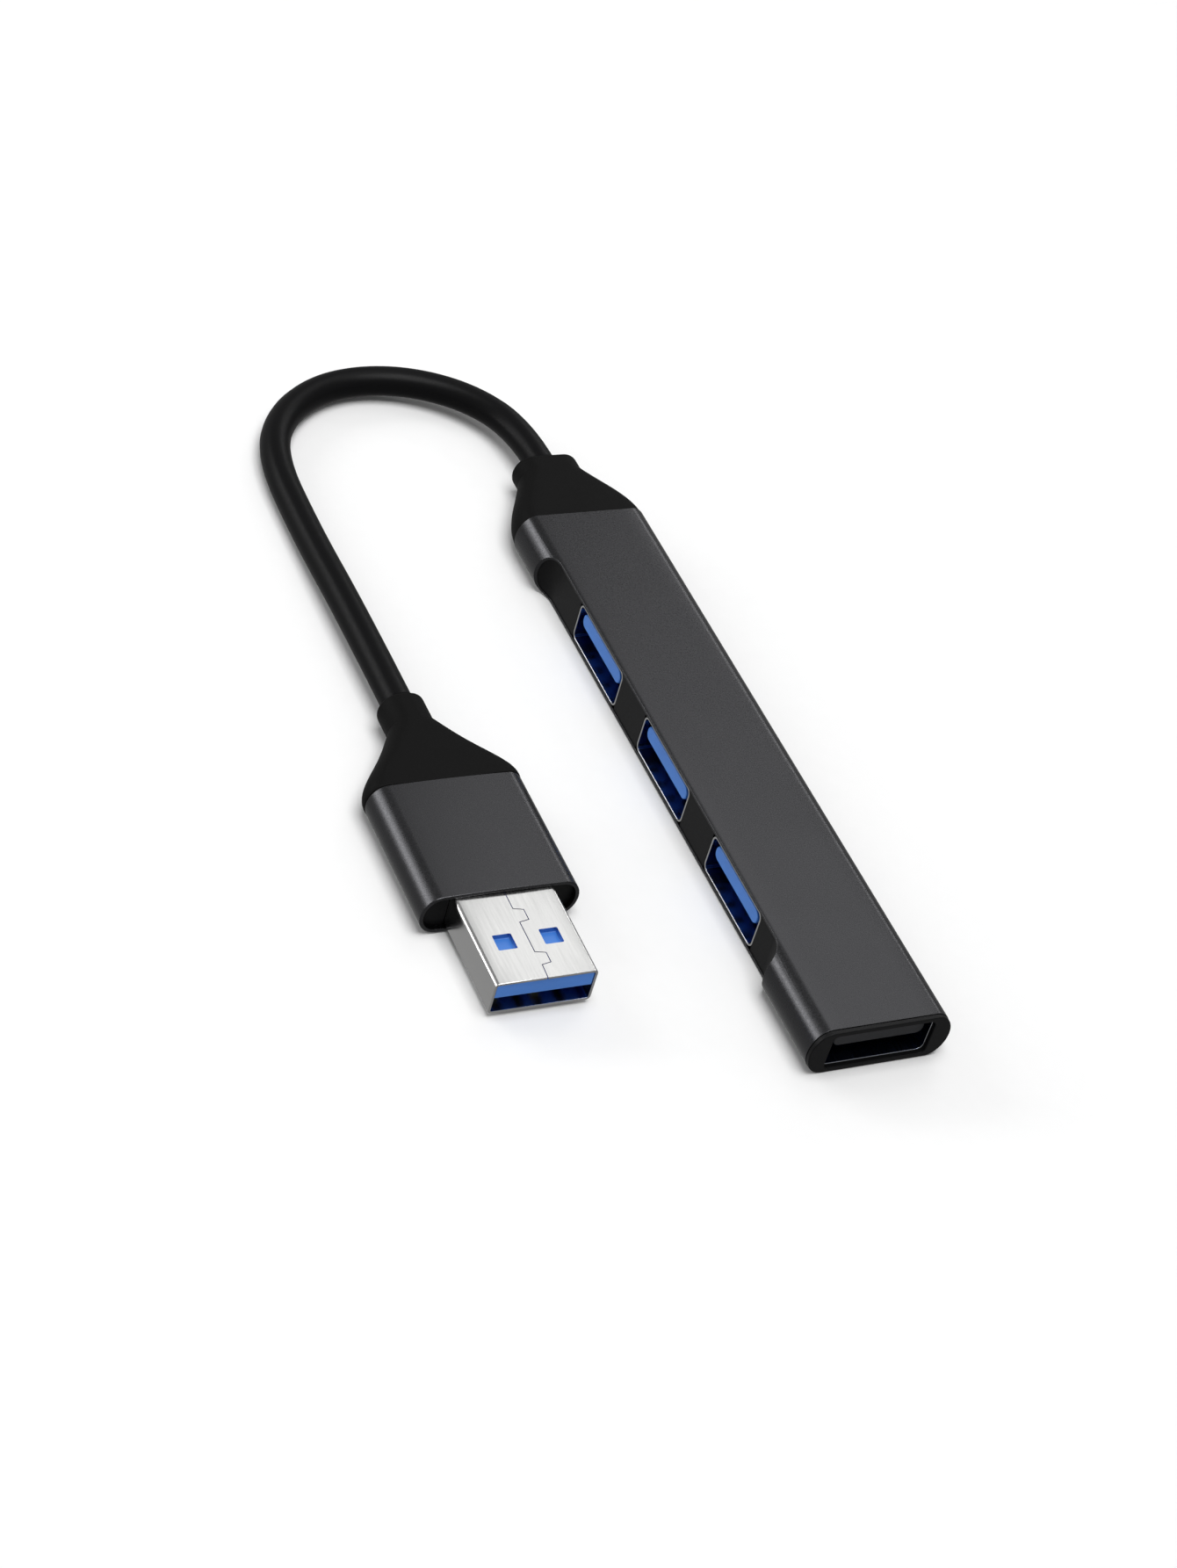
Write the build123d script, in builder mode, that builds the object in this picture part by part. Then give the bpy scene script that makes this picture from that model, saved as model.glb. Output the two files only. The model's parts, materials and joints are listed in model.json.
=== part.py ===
"""Slim four-port USB hub with a captive cable, in millimetres.

The hub body lies along X with its underside on Z = 0.  Three ports open towards -Y, the fourth
opens towards +X, and the cable leaves at -X, turns back and ends in a plug beside the body.
"""
import os
from math import pi, radians, tan

from build123d import *

os.makedirs("parts", exist_ok=True)

# ---- Ports, as the connector standard sizes them
opening_width = 12.5
opening_height = 4.8
opening_corner = 0.65
port_shell_wall = 0.25
port_depth = 12.0
port_base = 0.8
tongue_width = 11.1
tongue_thickness = 1.84
tongue_corner = 0.8
tongue_setback = 0.25
plug_side_gap = 1.95          # free height beside the plug's insulator, which takes a port's tongue
contact_pitch_inner = 2.0
contact_pitch_outer = 7.0
contact_width = 1.0
contact_thickness = 0.15
contact_start = 3.4           # mouth to the front of a long contact
contact_tail = 0.9
fast_pitch = 2.2
fast_width = 0.6
fast_length = 1.6
fast_start = 1.2
tab_length = 1.2
tab_reach = 0.75
tab_thickness = 0.3
tab_setback = 1.5             # back of a port's shell to the back of its tabs
port_pitch = 19.7
port_inset = 24.5             # last side port's middle to the end of the hub
side_port_count = 3

# ---- Hub body
hub_length = 86.0
hub_width = 17.4
hub_bulge = 2.3               # reach of each rounded side past the flat faces
housing_wall = 0.4
end_plate = 0.6
cut_depth = 1.8               # how deep the side is milled away for the ports
cutter_radius = 3.0
cut_margin_far = 9.4          # from the first port's edge to the end of the milled flat
cut_margin_near = 3.4
edge_break = 0.15
cheek_length = 3.0
pillar_depth = 1.5
frame_overlap_far = 3.0       # how far the frame reaches past the ends of the milled flat
frame_overlap_near = 1.0
tooth = 1.0                   # frame left standing beside the first port

# ---- Clearances
shell_gap = 0.05              # port shell to housing and frame
frame_gap = 0.05              # frame, end cap and boots to the housing they slide into
board_gap = 0.1
face_recess = 0.1             # port mouths and frame face behind the milled flat
tongue_gap = 0.02
wire_lift = 0.02

# ---- Circuit board and what it carries
board_thickness = 0.8
board_edge_gap = 0.2
board_end_gap = 0.5
chip_size = 6.0
chip_height = 0.85
chip_edge_gap = 1.2
mark_inset = 0.9              # first-pin dimple to the chip's edges
mark_radius = 0.35
mark_depth = 0.1
crystal_size = (3.2, 2.5, 0.7)
crystal_corner = 0.3
crystal_edge = 0.12
crystal_shift = 0.8
crystal_edge_gap = 0.5
capacitor_size = (1.0, 0.5, 0.5)
capacitor_pitch = (1.6, 1.6)
capacitor_gap = 0.8           # chip to the row of capacitors beside it
solder_length = 0.8
solder_width = 0.6

# ---- Cable and boots
cable_diameter = 3.8
wire_diameter = 0.7
wire_pitch = 0.74
wire_reach = 3.0              # length of the conductors over the board
passage_width = 3.0
passage_height = 2.3
hub_boot_length = 12.2
hub_boot_collar = 2.4
hub_boot_neck = (8.8, 5.0, 2.4)      # width, height, side bulge
hub_boot_swell = (1.0, 2)            # fullness of the swelling, and how late it comes
plug_boot_length = 14.6
plug_boot_collar = 4.0
plug_boot_neck = (5.7, 4.9, 2.3)
plug_boot_swell = (1.5, 4)
spigot_length = 2.0
boot_inset = 0.1              # boots stand this much inside the metal's outline
boot_steps = 7
boot_end_round = 0.6
bend_share = 0.45             # part of a straight run that each bend next to it takes up
lead_in = 16.0                # straight run into the plug's boot
lay_down = 32.0               # where the cable starts to leave the floor, from the plug's boot
turn = (                      # distance past the hub's boot, share of the way over, share of the height left
    (7.8, 0.0, 1.0),
    (15.6, 0.128, 0.82),
    (20.4, 0.363, 0.45),
    (20.7, 0.631, 0.1),
    (15.8, 0.86, 0.0),
    (7.7, 0.988, 0.0),
)

# ---- Plug
plug_axis_y = -33.9
plug_tip_x = 28.7
plug_width = 12.0
plug_height = 4.5
plug_wall = 0.3
plug_corner = 0.5
plug_reach = 12.6             # bare shell in front of the sleeve
plug_grip = 5.0               # shell held inside the sleeve
plug_cavity = 9.0
plug_lip = 0.1
window_size = 2.2
window_offset = 2.72
window_setback = 4.62
window_pocket = 0.35          # how deep the insulator is sunk under each window
seam_width = 0.08
seam_end = 0.1
seam_path = (                 # distance from the tip, shift across the plug
    (10.2, 0.0),
    (9.9, 1.15),
    (8.4, 1.15),
    (8.2, 0.0),
    (3.8, 0.0),
    (3.5, 1.2),
    (2.1, 1.2),
    (1.9, 0.1),
)
plug_contact_length = 5.4
plug_contact_start = 1.2
plug_fast_gap = 0.2
sleeve_width = 18.8
sleeve_height = 5.6
sleeve_bulge = 2.3
sleeve_length = 17.5
sleeve_wall = 0.45
nose_recess = 0.7

# ---- Sizes that follow from the ones above
shell_width = opening_width + 2 * port_shell_wall
shell_height = opening_height + 2 * port_shell_wall
shell_length = port_depth + port_base
hub_height = shell_height + 2 * (shell_gap + housing_wall)
hub_mid = hub_height / 2
hub_far = -hub_length / 2
hub_near = hub_length / 2
plate_back = hub_near - end_plate
cut_face = -(hub_width / 2 - cut_depth)
mouth_y = cut_face + face_recess
port_back = mouth_y + shell_length
last_port_x = hub_near - port_inset
side_port_xs = [last_port_x - port_pitch * n for n in reversed(range(side_port_count))]
cut_far = side_port_xs[0] - shell_width / 2 - cut_margin_far
cut_near = side_port_xs[-1] + shell_width / 2 + cut_margin_near + cutter_radius
inner_width = hub_width - 2 * housing_wall
inner_height = hub_height - 2 * housing_wall
inner_bulge = inner_width / 2 + mouth_y
board_bottom = hub_mid - board_thickness / 2
board_top = hub_mid + board_thickness / 2
board_front = mouth_y + pillar_depth + board_gap
board_back = inner_width / 2 - board_edge_gap
board_far = hub_far + spigot_length + board_end_gap
sleeve_mid = sleeve_height / 2
sleeve_near = plug_tip_x - plug_reach
sleeve_far = sleeve_near - sleeve_length
shell_tail_x = sleeve_near - plug_grip
cable_hub_x = hub_far - hub_boot_length
cable_plug_x = sleeve_far - plug_boot_length
frame_far = cut_far - frame_overlap_far
frame_near = cut_near + frame_overlap_near
tab_middle = shell_width / 2 + (tab_reach - port_shell_wall) / 2
tab_height = board_top - hub_mid + tab_thickness / 2
bay_near = side_port_xs[0] - shell_width / 2 - shell_gap - tooth
end_shell_back = plate_back - shell_length
frame_underside = board_top + tab_thickness + frame_gap
shell_inner_width = plug_width - 2 * plug_wall
shell_inner_height = plug_height - 2 * plug_wall
plug_bottom = sleeve_mid - plug_height / 2
window_x = plug_tip_x - window_setback - window_size / 2
plug_face = shell_inner_height / 2 - plug_side_gap
tongue_mid = shell_inner_height / 2 - plug_side_gap / 2
tongue_bottom = tongue_mid - tongue_thickness / 2
contact_pitches = (-contact_pitch_outer, -contact_pitch_inner, contact_pitch_inner, contact_pitch_outer)
contact_offsets = [pitch / 2 for pitch in contact_pitches]
fast_offsets = [fast_pitch * step for step in (-2, -1, 0, 1, 2)]


def across(x, mid=hub_mid, y=0):
    """A plane that cuts the object across its length, facing +X."""
    return Plane(origin=(x, y, mid), x_dir=(0, 1, 0), z_dir=(1, 0, 0))


def capsule(width, height, bulge):
    """Draws a section with flat top and bottom and half-elliptical sides."""
    flat = width / 2 - bulge
    rise = height / 2
    with BuildLine() as outline:
        Line((-flat, rise), (flat, rise))
        EllipticalCenterArc((flat, 0), bulge, rise, -90, arc_size=180)
        Line((flat, -rise), (-flat, -rise))
        EllipticalCenterArc((-flat, 0), bulge, rise, 90, arc_size=180)
    make_face(outline.edges())


def finish(part, name):
    """Labels a finished piece and writes it."""
    part.label = name
    export_step(part, f"parts/{name}.step")


def cutter(face_y):
    """Draws the slot that a round cutter mills along the side, with its flat at face_y."""
    with Locations(((cut_far + cut_near) / 2, face_y - cutter_radius)):
        SlotOverall(cut_near - cut_far, 2 * cutter_radius)


# ---- Housing: an extruded tube, milled away along one side
with BuildPart() as housing:
    with BuildSketch(across(hub_far)):
        capsule(hub_width, hub_height, hub_bulge)
    extrude(amount=plate_back - hub_far)
    ends = housing.faces().filter_by(Axis.X)
    chamfer(ends.edges(), edge_break)
    with BuildSketch(across(hub_far)):
        capsule(inner_width, inner_height, inner_bulge)
    extrude(amount=plate_back - hub_far, mode=Mode.SUBTRACT)
    with BuildSketch(Plane.XY):
        cutter(cut_face)
    extrude(amount=hub_height, mode=Mode.SUBTRACT)
finish(housing.part, "housing")

# ---- End cap: a plate that closes the tube around the end port, with a cheek on each side
with BuildPart() as end_cap:
    with BuildSketch(across(plate_back)):
        capsule(hub_width - 2 * frame_gap, hub_height - 2 * frame_gap, hub_bulge - frame_gap)
    extrude(amount=end_plate)
    chamfer(end_cap.faces().sort_by(Axis.X)[-1].edges(), edge_break)
    with BuildSketch(across(plate_back)):
        capsule(inner_width - 2 * frame_gap, inner_height - 2 * frame_gap, inner_bulge - frame_gap)
        Rectangle(shell_width + 2 * shell_gap, inner_height, mode=Mode.SUBTRACT)
    extrude(amount=-cheek_length)
    with BuildSketch(across(plate_back)):
        RectangleRounded(opening_width + 2 * shell_gap, opening_height + 2 * shell_gap, opening_corner)
    extrude(amount=end_plate, mode=Mode.SUBTRACT)
finish(end_cap.part, "end_cap")

# ---- Inner frame: pillars between the ports, teeth over the board and a spine behind the ports
with BuildPart() as inner_frame:
    with BuildSketch(across(frame_far)):
        capsule(inner_width - 2 * frame_gap, inner_height - 2 * frame_gap, inner_bulge - frame_gap)
    extrude(amount=frame_near - frame_far)
    with BuildSketch(Plane.XY):
        cutter(mouth_y)
        for port_x in side_port_xs:
            with Locations((port_x, mouth_y)):
                Rectangle(
                    shell_width + 2 * shell_gap,
                    shell_length + shell_gap,
                    align=(Align.CENTER, Align.MIN),
                )
        with Locations((end_shell_back - shell_gap, -shell_width / 2 - shell_gap)):
            Rectangle(hub_length, hub_width, align=(Align.MIN, Align.MIN))
        with Locations((frame_far, mouth_y + pillar_depth)):
            Rectangle(bay_near - frame_far, hub_width, align=(Align.MIN, Align.MIN))
    extrude(amount=hub_height, mode=Mode.SUBTRACT)
    with BuildSketch(Plane.XY):
        with Locations((frame_far, mouth_y + pillar_depth)):
            Rectangle(frame_near - frame_far, hub_width, align=(Align.MIN, Align.MIN))
    extrude(amount=frame_underside, mode=Mode.SUBTRACT)
finish(inner_frame.part, "inner_frame")

# ---- Circuit board, notched so that the port shells sink through it
with BuildPart() as circuit_board:
    with BuildSketch(Plane.XY.offset(board_bottom)):
        with Locations((board_far, board_front)):
            Rectangle(
                plate_back - cheek_length - board_gap - board_far,
                board_back - board_front,
                align=(Align.MIN, Align.MIN),
            )
        for port_x in side_port_xs:
            with Locations((port_x, board_front)):
                Rectangle(
                    shell_width + 2 * board_gap,
                    port_back + contact_thickness + board_gap - board_front,
                    align=(Align.CENTER, Align.MIN),
                    mode=Mode.SUBTRACT,
                )
        with Locations((end_shell_back - contact_thickness - board_gap, 0)):
            Rectangle(
                hub_length,
                shell_width + 2 * board_gap,
                align=(Align.MIN, Align.CENTER),
                mode=Mode.SUBTRACT,
            )
    extrude(amount=board_thickness)
finish(circuit_board.part, "circuit_board")

# ---- Parts soldered to the board, in the bay beside the first port
chip_x = bay_near - chip_size / 2
chip_y = board_back - chip_size / 2 - chip_edge_gap
mark_shift = chip_size / 2 - mark_inset
with BuildPart() as hub_controller:
    with BuildSketch(Plane.XY.offset(board_top)):
        with Locations((chip_x, chip_y)):
            Rectangle(chip_size, chip_size)
    extrude(amount=chip_height)
    chamfer(hub_controller.faces().sort_by(Axis.Z)[-1].edges(), edge_break)
    with BuildSketch(Plane.XY.offset(board_top + chip_height)):
        with Locations((chip_x - mark_shift, chip_y + mark_shift)):
            Circle(mark_radius)
    extrude(amount=-mark_depth, mode=Mode.SUBTRACT)
finish(hub_controller.part, "hub_controller")

crystal_x = chip_x + crystal_shift
crystal_y = board_front + crystal_edge_gap + crystal_size[1] / 2
with BuildPart() as clock_crystal:
    with BuildSketch(Plane.XY.offset(board_top)):
        with Locations((crystal_x, crystal_y)):
            RectangleRounded(crystal_size[0], crystal_size[1], crystal_corner)
    extrude(amount=crystal_size[2])
    fillet(clock_crystal.faces().sort_by(Axis.Z)[-1].edges(), crystal_edge)
finish(clock_crystal.part, "clock_crystal")

with BuildPart() as board_capacitors:
    with BuildSketch(Plane.XY.offset(board_top)):
        with Locations((chip_x, chip_y - chip_size / 2 - capacitor_gap)):
            with GridLocations(capacitor_pitch[0], 1, 4, 1):
                Rectangle(capacitor_size[0], capacitor_size[1])
    extrude(amount=capacitor_size[2])
    with BuildSketch(Plane.XY.offset(board_bottom - capacitor_size[2])):
        with Locations((chip_x, chip_y)):
            with GridLocations(capacitor_pitch[0], capacitor_pitch[1], 3, 3):
                Rectangle(capacitor_size[0], capacitor_size[1])
    extrude(amount=capacitor_size[2])
finish(board_capacitors.part, "board_capacitors")

# ---- Ports: a drawn shell, a moulded tongue with its base, and the contacts under the tongue


def port_shell(mouth, tab_sides):
    """The metal shell of a port, whose mouth faces the plane's own direction."""
    with BuildPart() as shell:
        with BuildSketch(mouth):
            RectangleRounded(shell_width, shell_height, opening_corner + port_shell_wall)
            RectangleRounded(opening_width, opening_height, opening_corner, mode=Mode.SUBTRACT)
        extrude(amount=-shell_length)
        with BuildSketch(mouth.offset(tab_setback - shell_length)):
            for side in tab_sides:
                with Locations((side * tab_middle, tab_height)):
                    Rectangle(tab_reach + port_shell_wall, tab_thickness)
        extrude(amount=tab_length)
    return shell.part


def port_tongue(mouth):
    """The moulded tongue of a port, on the base that closes the back of the shell."""
    with BuildPart() as tongue:
        with BuildSketch(mouth.offset(-port_depth)):
            RectangleRounded(
                opening_width - 2 * tongue_gap,
                opening_height - 2 * tongue_gap,
                opening_corner,
            )
        extrude(amount=-port_base)
        with BuildSketch(mouth.offset(-tongue_setback)):
            with Locations((0, tongue_mid)):
                RectangleRounded(tongue_width, tongue_thickness, tongue_corner)
        extrude(amount=tongue_setback - port_depth)
        with BuildSketch(mouth.offset(-port_depth)):
            for offset in contact_offsets:
                with Locations((offset, tongue_bottom - contact_thickness / 2)):
                    Rectangle(contact_width + 2 * tongue_gap, contact_thickness + 2 * tongue_gap)
        extrude(amount=-port_base, mode=Mode.SUBTRACT)
    return tongue.part


def port_contacts(mouth):
    """Four long contacts with tails that reach the board, and five short ones near the tip."""
    inward = mouth.z_dir * -1
    side = Plane(origin=mouth.origin, x_dir=inward, z_dir=inward.cross(mouth.y_dir))
    low = tongue_bottom - contact_thickness
    foot = board_top - hub_mid
    riser = shell_length + tongue_gap
    with BuildPart() as contacts:
        for offset in contact_offsets:
            with BuildSketch(side.offset(offset)):
                with BuildLine():
                    Polyline(
                        (contact_start, low),
                        (riser + contact_thickness, low),
                        (riser + contact_thickness, foot),
                        (riser + contact_tail, foot),
                        (riser + contact_tail, foot + contact_thickness),
                        (riser, foot + contact_thickness),
                        (riser, low + contact_thickness),
                        (contact_start, low + contact_thickness),
                        close=True,
                    )
                make_face()
            extrude(amount=contact_width / 2, both=True)
        for offset in fast_offsets:
            with BuildSketch(side.offset(offset)):
                with Locations((fast_start, low)):
                    Rectangle(fast_length, contact_thickness, align=(Align.MIN, Align.MIN))
            extrude(amount=fast_width / 2, both=True)
    return contacts.part


ports = {
    f"side_port_{n + 1}": (Plane(origin=(x, mouth_y, hub_mid), x_dir=(1, 0, 0), z_dir=(0, -1, 0)), (-1, 1))
    for n, x in enumerate(side_port_xs)
}
ports["end_port"] = (across(plate_back), (1,))
for port_name, (mouth, tab_sides) in ports.items():
    finish(port_shell(mouth, tab_sides), f"{port_name}_shell")
    finish(port_tongue(mouth), f"{port_name}_tongue")
    finish(port_contacts(mouth), f"{port_name}_contacts")


# ---- Boots: moulded strain reliefs that swell from the cable to the metal's outline
def swell(share, fullness, late):
    """Rise from 0 to 1 that starts at an even slope and levels out at the metal."""
    return share + fullness * share**late * (1 - share)


def boot(metal_x, length, collar, neck, shape, base, spigot, mid, axis_y):
    """A boot on the -X side of metal_x, with a spigot that plugs into the metal tube."""
    with BuildPart() as moulding:
        for step in range(boot_steps + 1):
            share = step / boot_steps
            mix = swell(share, *shape)
            x = metal_x - length + collar + share * (length - collar)
            with BuildSketch(across(x, mid, axis_y)):
                capsule(*[low + mix * (high - low) for low, high in zip(neck, base)])
        loft()
        with BuildSketch(across(metal_x - length, mid, axis_y)):
            capsule(*neck)
        extrude(amount=collar)
        with BuildSketch(across(metal_x, mid, axis_y)):
            capsule(*spigot)
        extrude(amount=spigot_length)
        fillet(moulding.faces().sort_by(Axis.X)[0].edges(), boot_end_round)
        with BuildSketch(across(metal_x - length, mid, axis_y)):
            Rectangle(passage_width, passage_height)
        extrude(amount=length + spigot_length, mode=Mode.SUBTRACT)
    return moulding.part


def inset(section, gap):
    """A section's width, height and bulge, smaller by a gap all round."""
    width, height, bulge = section
    return (width - 2 * gap, height - 2 * gap, bulge - gap)


hub_section = (hub_width, hub_height, hub_bulge)
hub_bore = (inner_width, inner_height, inner_bulge)
sleeve_section = (sleeve_width, sleeve_height, sleeve_bulge)
sleeve_bore = inset(sleeve_section, sleeve_wall)
hub_boot = boot(
    hub_far,
    hub_boot_length,
    hub_boot_collar,
    hub_boot_neck,
    hub_boot_swell,
    inset(hub_section, boot_inset),
    inset(hub_bore, frame_gap),
    hub_mid,
    0,
)
finish(hub_boot, "hub_boot")
plug_boot = boot(
    sleeve_far,
    plug_boot_length,
    plug_boot_collar,
    plug_boot_neck,
    plug_boot_swell,
    inset(sleeve_section, boot_inset),
    inset(sleeve_bore, frame_gap),
    sleeve_mid,
    plug_axis_y,
)
finish(plug_boot, "plug_boot")


# ---- Conductors, in two flat rows that reach from the cable to where they are soldered
def wires(start_x, end_x, mid, axis_y):
    """Eight insulated conductors, four above the middle plane and four below it."""
    row_rise = board_thickness / 2 + wire_diameter / 2 + wire_lift
    with BuildPart() as bundle:
        with BuildSketch(across(start_x, mid, axis_y)):
            with GridLocations(wire_pitch, 2 * row_rise, 4, 2):
                Circle(wire_diameter / 2)
        extrude(amount=end_x - start_x)
    return bundle.part


hub_wire_end = board_far + wire_reach
finish(wires(cable_hub_x, hub_wire_end, hub_mid, 0), "hub_wires")
finish(wires(cable_plug_x, shell_tail_x, sleeve_mid, plug_axis_y), "plug_wires")

with BuildPart() as solder_joints:
    for base_z, rise in ((board_top, solder_width), (board_bottom, -solder_width)):
        with BuildSketch(Plane.XY.offset(base_z)):
            with Locations((hub_wire_end + solder_length / 2, 0)):
                with GridLocations(1, wire_pitch, 1, 4):
                    Rectangle(solder_length, solder_width)
        extrude(amount=rise)
finish(solder_joints.part, "solder_joints")

# ---- Plug: sleeve, carrier, shell, insulator and contacts
with BuildPart() as plug_sleeve:
    with BuildSketch(across(sleeve_far, sleeve_mid, plug_axis_y)):
        capsule(*sleeve_section)
    extrude(amount=sleeve_length)
    chamfer(plug_sleeve.faces().filter_by(Axis.X).edges(), edge_break)
    with BuildSketch(across(sleeve_far, sleeve_mid, plug_axis_y)):
        capsule(*sleeve_bore)
    extrude(amount=sleeve_length, mode=Mode.SUBTRACT)
finish(plug_sleeve.part, "plug_sleeve")

carrier_far = sleeve_far + spigot_length
carrier_near = sleeve_near - nose_recess
with BuildPart() as plug_carrier:
    with BuildSketch(across(carrier_far, sleeve_mid, plug_axis_y)):
        capsule(*inset(sleeve_bore, frame_gap))
    extrude(amount=carrier_near - carrier_far)
    with BuildSketch(across(shell_tail_x, sleeve_mid, plug_axis_y)):
        Rectangle(plug_width + 2 * shell_gap, sleeve_height)
    extrude(amount=plug_reach, mode=Mode.SUBTRACT)
    with BuildSketch(across(carrier_far, sleeve_mid, plug_axis_y)):
        Rectangle(passage_width, passage_height)
    extrude(amount=shell_tail_x - carrier_far, mode=Mode.SUBTRACT)
finish(plug_carrier.part, "plug_carrier")

with BuildPart() as plug_shell:
    with BuildSketch(across(shell_tail_x, sleeve_mid, plug_axis_y)):
        RectangleRounded(plug_width, plug_height, plug_corner)
        RectangleRounded(shell_inner_width, shell_inner_height, plug_corner - plug_wall, mode=Mode.SUBTRACT)
    extrude(amount=plug_reach + plug_grip)
    with BuildSketch(Plane.XY.offset(plug_bottom)):
        for side in (-1, 1):
            with Locations((window_x, plug_axis_y + side * window_offset)):
                Rectangle(window_size, window_size)
    extrude(amount=plug_height, mode=Mode.SUBTRACT)
    with BuildSketch(Plane.XY.offset(sleeve_mid)):
        with BuildLine(Plane.XY.offset(sleeve_mid)) as seam:
            Polyline(
                (shell_tail_x, plug_axis_y),
                *[(plug_tip_x - back, plug_axis_y + shift) for back, shift in seam_path],
                (plug_tip_x + seam_end, plug_axis_y),
            )
        trace(line_width=seam_width)
    extrude(amount=plug_height, mode=Mode.SUBTRACT)
finish(plug_shell.part, "plug_shell")

insulator_tip = plug_tip_x - plug_lip
with BuildPart() as plug_insulator:
    with BuildSketch(across(shell_tail_x, sleeve_mid, plug_axis_y)):
        RectangleRounded(
            shell_inner_width - 2 * tongue_gap,
            shell_inner_height - 2 * tongue_gap,
            plug_corner - plug_wall,
        )
    extrude(amount=insulator_tip - shell_tail_x)
    with BuildSketch(across(insulator_tip, sleeve_mid, plug_axis_y)):
        with Locations((0, plug_face)):
            Rectangle(shell_inner_width, shell_inner_height, align=(Align.CENTER, Align.MAX))
    extrude(amount=-plug_cavity, mode=Mode.SUBTRACT)
    with BuildSketch(Plane.XY.offset(plug_bottom + plug_height - plug_wall - window_pocket)):
        for side in (-1, 1):
            with Locations((window_x, plug_axis_y + side * window_offset)):
                Rectangle(window_size, window_size)
    extrude(amount=plug_wall + window_pocket, mode=Mode.SUBTRACT)
finish(plug_insulator.part, "plug_insulator")

cavity_back = insulator_tip - plug_cavity
with BuildPart() as plug_contacts:
    with BuildSketch(Plane.XY.offset(sleeve_mid + plug_face - contact_thickness)):
        for offset in contact_offsets:
            with Locations((insulator_tip - plug_contact_start, plug_axis_y + offset)):
                Rectangle(plug_contact_length, contact_width, align=(Align.MAX, Align.CENTER))
        for offset in fast_offsets:
            with Locations((cavity_back + plug_fast_gap, plug_axis_y + offset)):
                Rectangle(fast_length, fast_width, align=(Align.MIN, Align.CENTER))
    extrude(amount=contact_thickness)
finish(plug_contacts.part, "plug_contacts")

# ---- Cable: straight runs joined by tangent arcs, from the hub's boot round to the plug's boot
floor_rise = cable_diameter / 2
drop = hub_mid - floor_rise
route = [
    (cable_hub_x, 0.0, hub_mid),
    *[(cable_hub_x - past, over * plug_axis_y, floor_rise + left * drop) for past, over, left in turn],
    (cable_plug_x - lay_down, plug_axis_y, floor_rise),
    (cable_plug_x - lead_in, plug_axis_y, sleeve_mid),
    (cable_plug_x, plug_axis_y, sleeve_mid),
]
runs = [Vector(*b) - Vector(*a) for a, b in zip(route, route[1:])]
bends = [
    bend_share * min(before.length, after.length) / tan(radians(before.get_angle(after) / 2))
    for before, after in zip(runs, runs[1:])
]
print("cable bend radii in mm:", [round(bend, 1) for bend in bends])
with BuildPart() as cable:
    with BuildLine() as cable_line:
        FilletPolyline(*route, radius=bends)
    with BuildSketch(Plane(origin=route[0], z_dir=(-1, 0, 0))):
        Circle(cable_diameter / 2)
    sweep(path=cable_line.line)
finish(cable.part, "cable")
cable_length = sum(edge.length for edge in cable_line.edges())
print("cable length in mm:", round(cable_length, 1))
tube_volume = pi * floor_rise**2 * cable_length
print("cable volume over section times length:", round(cable.part.volume / tube_volume, 4))
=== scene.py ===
"""Slim four-port data hub: its looks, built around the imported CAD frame.

The hub lies along X with its underside on Z = 0.  Sizes in the tables below are in millimetres, in the
frame's own axes, and become metres when a mesh is made.
"""
import json
import math

import bmesh
import bpy
from bpy.props import FloatProperty, FloatVectorProperty, IntProperty, PointerProperty
from mathutils import Matrix, Quaternion, Vector


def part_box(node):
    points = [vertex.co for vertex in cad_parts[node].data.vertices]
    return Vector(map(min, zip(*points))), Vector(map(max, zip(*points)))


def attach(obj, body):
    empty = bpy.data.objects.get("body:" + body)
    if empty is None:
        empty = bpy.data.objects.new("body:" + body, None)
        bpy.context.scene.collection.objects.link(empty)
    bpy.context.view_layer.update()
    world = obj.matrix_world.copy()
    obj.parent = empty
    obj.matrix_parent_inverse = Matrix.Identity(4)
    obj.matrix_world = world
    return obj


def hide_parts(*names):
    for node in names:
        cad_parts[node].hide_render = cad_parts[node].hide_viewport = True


bl_info = {
    "name": "Slim data hub",
    "version": (1, 0, 0),
    "blender": (4, 5, 0),
    "location": "3D View > Sidebar > Data hub",
    "description": "Builds a slim four-port data hub with its captive cable around the CAD frame",
    "category": "Object",
}

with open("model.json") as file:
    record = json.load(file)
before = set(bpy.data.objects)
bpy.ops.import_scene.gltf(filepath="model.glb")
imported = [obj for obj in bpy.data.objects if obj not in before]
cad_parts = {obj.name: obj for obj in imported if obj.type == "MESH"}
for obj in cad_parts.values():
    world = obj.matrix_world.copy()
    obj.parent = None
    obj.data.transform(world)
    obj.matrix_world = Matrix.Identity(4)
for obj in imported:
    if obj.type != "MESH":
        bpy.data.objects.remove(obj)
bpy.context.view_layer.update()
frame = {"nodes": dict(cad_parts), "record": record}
MM = 0.001

# Sizes that the frame's boxes don't give, in millimetres, and counts of steps
FIT_GAP = 0.05
INNER_BULGE = 1.5
CROWN_STEPS = 8
SLEEVE_CROWN = 0.12
# The slot milled for the side ports: its two ends along X, its flat and the cutter's radius
SLOT_FAR, SLOT_NEAR, SLOT_FACE, CUTTER_RADIUS = -36.8, 31.4, -6.9, 3.0
# A port's opening: width, height and corner
OPENING = (12.5, 4.8, 0.65)
SHELL_WALL, SHELL_LENGTH, PORT_DEPTH = 0.25, 12.8, 12.0
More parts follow.
